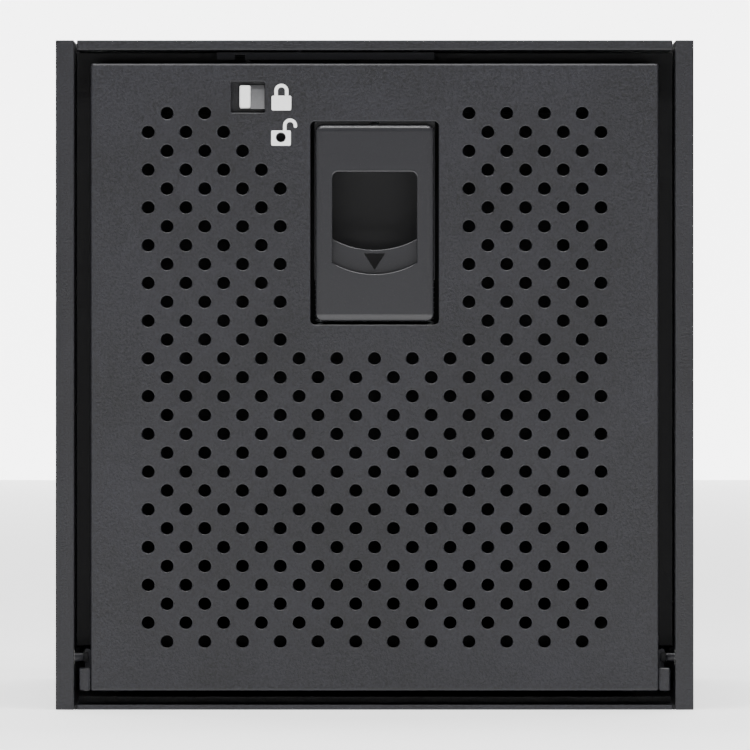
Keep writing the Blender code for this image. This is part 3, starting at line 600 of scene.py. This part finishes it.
def make_frame():
    """Frame behind the door, whose sides reach the posts so that the gap round the door looks closed."""
    ring = soften("door_frame", FRAME_EDGE)
    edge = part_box("door_frame")[1].x
    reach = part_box("hinge_bush_right")[0].x - FRAME_CLEARANCE
    for vertex in ring.data.vertices:
        if abs(vertex.co.x) > edge - FRAME_CLEARANCE:
            vertex.co.x = math.copysign(reach, vertex.co.x)


def make_hinge_arm(label, side):
    """Arm whose web stands back in the shadow, with a dark collar of painted shade round the foot of its pin."""
    arm = soften(f"hinge_arm_{label}", ARM_EDGE)
    low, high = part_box(f"hinge_arm_{label}")
    middle = (low + high) / 2
    for vertex in arm.data.vertices:
        across = abs(vertex.co.x)
        if across < ARM_FACE and vertex.co.z > FOOT_TOP and vertex.co.y < WEB_FRONT:
            vertex.co.y = WEB_FRONT
        elif across < FOOT_INNER and vertex.co.y < middle.y and vertex.co.z < FOOT_TOP:
            vertex.co.x = math.copysign(abs(door_low.x) + RIM / 2, vertex.co.x)
    # Painted shade: a dark collar where the foot of the pin lies in shade.
    outline = circle(0, 0, SHADE_COLLAR_RADIUS, ROUND_SIDES)
    shade_collar = sheet(f"hinge_shade_collar_{label}", outline, [], 0, SHADE_COLLAR_LENGTH, SHADE_COLLAR_EDGE, 3)
    turn = Matrix.Rotation(side * math.pi / 2, 4, "Z")
    shade_collar.transform(Matrix.Translation((side * SHADE_COLLAR_END, *joints["door_hinge"]["pos_m"][1:])) @ turn)
    show(f"hinge_shade_collar_{label}", shade_collar, shade_collar_look, "door", "inner_plastic")


# ---------------------------------------------------------------- springs and screws

def make_spring(node, turns, axis):
    """Round wire coil in the box of its CAD node."""
    low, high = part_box(node)
    along = axis.index(1)
    across = [i for i in range(3) if i != along]
    middle = (low + high) / 2
    radius = (high[across[0]] - low[across[0]]) / 2 - SPRING_WIRE
    length = high[along] - low[along] - 2 * SPRING_WIRE
    curve = bpy.data.curves.new(node, "CURVE")
    curve.dimensions = "3D"
    curve.bevel_depth = SPRING_WIRE
    curve.bevel_resolution = WIRE_RESOLUTION
    curve.use_fill_caps = True
    spline = curve.splines.new("POLY")
    count = turns * COIL_STEPS
    spline.points.add(count)
    for i, point in enumerate(spline.points):
        angle = 2 * math.pi * i / COIL_STEPS
        place = Vector((0, 0, 0))
        place[across[0]] = middle[across[0]] + radius * math.cos(angle)
        place[across[1]] = middle[across[1]] + radius * math.sin(angle)
        place[along] = low[along] + SPRING_WIRE + length * i / count
        point.co = (*place, 1)
    mesh = mesh_of(curve)
    smooth(mesh, COIL_SHARP_ANGLE)
    spring = show(f"{node}_coil", mesh, looks["zinc_steel"], "door", slots[node], node)
    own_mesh(spring)


def make_springs():
    """Two springs under the latch and one behind the release pin's plunger."""
    for node in ("latch_spring_left", "latch_spring_right"):
        make_spring(node, LATCH_SPRING_TURNS, (0, 0, 1))
    make_spring("release_spring", RELEASE_SPRING_TURNS, (0, 1, 0))


def make_screw(node):
    """Screw with a round head and a cross recess in it."""
    body = soften(node, SCREW_EDGE, 2)
    low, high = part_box(node)
    middle, size = (low + high) / 2, high - low
    along = max(range(3), key=lambda i: abs(size[i] - HEAD_DIAMETER))
    across = [i for i in range(3) if i != along]
    rims = [v.co[along] for v in body.data.vertices
            if math.hypot(*[v.co[i] - middle[i] for i in across]) > HEAD_DIAMETER * RIM_SHARE]
    sign = 1 if sum(rims) / len(rims) > middle[along] else -1
    face = high[along] if sign > 0 else low[along]
    seat = face - sign * CROSS_DEPTH
    for vertex in body.data.vertices:
        if (vertex.co[along] - seat) * sign > 0:
            vertex.co[along] = seat
    wide, long = CROSS_HALF_WIDTH, CROSS_REACH
    cross = [(wide, wide), (wide, long), (-wide, long), (-wide, wide), (-long, wide), (-long, -wide),
             (-wide, -wide), (-wide, -long), (wide, -long), (wide, -wide), (long, -wide), (long, wide)]
    outline = circle(0, 0, HEAD_DIAMETER / 2, ROUND_SIDES)
    cap = sheet(f"{node}_head", outline, [cross], 0, CROSS_DEPTH, HEAD_EDGE)
    direction = Vector([sign if i == along else 0 for i in range(3)])
    middle[along] = face
    turn = Vector((0, -1, 0)).rotation_difference(direction).to_matrix().to_4x4()
    cap.transform(Matrix.Translation(middle) @ turn)
    show(f"{node}_head", cap, looks[slots[node]], bodies[node], slots[node])


# ---------------------------------------------------------------- studio and camera

def soft_box(name, place, target, size, power):
    """Rectangular area light that faces a point."""
    light = bpy.data.lights.new(name, "AREA")
    light.shape = "RECTANGLE"
    light.size, light.size_y = size
    light.energy = power
    made = bpy.data.objects.new(name, light)
    made.location = place
    made.rotation_euler = (Vector(target) - Vector(place)).to_track_quat("-Z", "Y").to_euler()
    bpy.context.scene.collection.objects.link(made)


def make_floor():
    """Pale floor that glows a little, as a light table does."""
    bpy.ops.mesh.primitive_plane_add(size=FLOOR_SIZE, location=(0, 0, 0))
    floor = bpy.context.object
    floor.name = "floor"
    pale = plastic("pale_floor", (0.90, 0.90, 0.90), 0.8, 400, 0.0001, mottle=0.01)
    shader = pale.node_tree.nodes["Principled BSDF"]
    shader.inputs["Emission Color"].default_value = (1, 1, 1, 1)
    shader.inputs["Emission Strength"].default_value = FLOOR_GLOW
    floor.data.materials.append(pale)
    return floor


def make_backdrop():
    """Lit white wall far behind the object."""
    place = (0, BACKDROP_DISTANCE, 0)
    bpy.ops.mesh.primitive_plane_add(size=BACKDROP_SIZE, location=place, rotation=(math.pi / 2, 0, 0))
    backdrop = bpy.context.object
    backdrop.name = "backdrop"
    lit = bpy.data.materials.new("lit_backdrop")
    lit.use_nodes = True
    glow = lit.node_tree.nodes["Principled BSDF"]
    glow.inputs["Base Color"].default_value = (0.9, 0.9, 0.9, 1)
    glow.inputs["Emission Color"].default_value = (1, 1, 1, 1)
    glow.inputs["Emission Strength"].default_value = BACKDROP_GLOW
    backdrop.data.materials.append(lit)
    return backdrop


def make_studio():
    """Floor, backdrop and dim surround, a large soft box overhead and a narrow one in front."""
    make_floor()
    make_backdrop()
    world = bpy.data.worlds.new("studio")
    bpy.context.scene.world = world
    world.use_nodes = True
    world.node_tree.nodes["Background"].inputs["Color"].default_value = (1, 1, 1, 1)
    world.node_tree.nodes["Background"].inputs["Strength"].default_value = WORLD_GLOW
    soft_box("top_box", place=(0, -0.36, 1.25), target=(0, -0.30, 0), size=(1.1, 0.34), power=15.0)
    soft_box("key_strip", place=(0, -0.80, 1.05), target=(0, -0.12, 0.09), size=(1.2, 0.10), power=13.0)


def make_camera():
    """Straight front view through a long lens, from the middle of the front's height."""
    low, high = cad_box
    camera = bpy.data.cameras.new("camera")
    camera.sensor_width = SENSOR_WIDTH
    camera.lens = camera.sensor_width * CAMERA_DISTANCE / VIEW_WIDTH
    camera.clip_end = CLIP_END
    made = bpy.data.objects.new("camera", camera)
    made.location = (CAMERA_SHIFT, low.y - CAMERA_DISTANCE, (low.z + high.z) / 2)
    made.rotation_euler = (math.pi / 2, 0, 0)
    bpy.context.scene.collection.objects.link(made)
    bpy.context.scene.camera = made


make_camera()
make_studio()
make_door_skin()
make_latch_plate()
make_thumb_piece()
make_symbols()
make_lock()
for node, width in SOFT_EDGES.items():
    soften(node, width)
make_casing()
make_frame()
make_hinge_arm("left", -1)
make_hinge_arm("right", 1)
make_springs()
for node in frame["nodes"]:
    if "screw" in node:
        make_screw(node)
